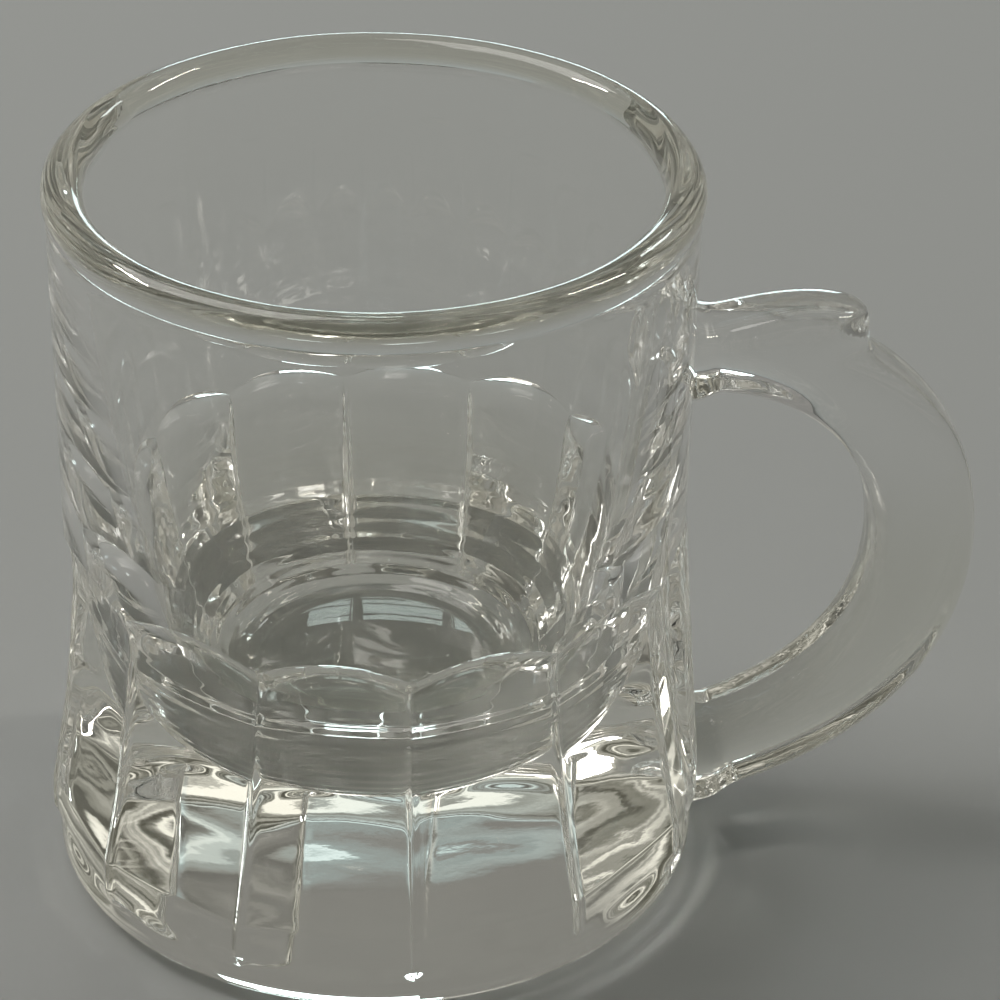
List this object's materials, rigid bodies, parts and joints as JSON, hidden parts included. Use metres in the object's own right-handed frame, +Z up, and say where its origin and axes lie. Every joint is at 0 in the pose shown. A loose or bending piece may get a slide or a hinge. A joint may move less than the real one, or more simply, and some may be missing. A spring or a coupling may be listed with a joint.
{
  "type": "beer mug shot glass",
  "caption": "Small clear pressed-glass beer mug for one shot: round lip, thick fluted base flaring to the foot, and a fused loop handle with a thumb rest.",
  "frame": {"origin": "centre of the underside of the foot, on the bowl's axis", "axes": "+Z up along the bowl's axis to the mouth, +X towards the handle, +Y completing a right-handed frame"},
  "size_m": [0.0679, 0.0478, 0.055],
  "materials": {
    "mug_body_glass": "clear, fire-polished",
    "handle_glass": "clear, fire-polished"
  },
  "bodies": {
    "root": {"mug_body": "mug_body_glass", "handle": "handle_glass"}
  },
  "joints": []
}
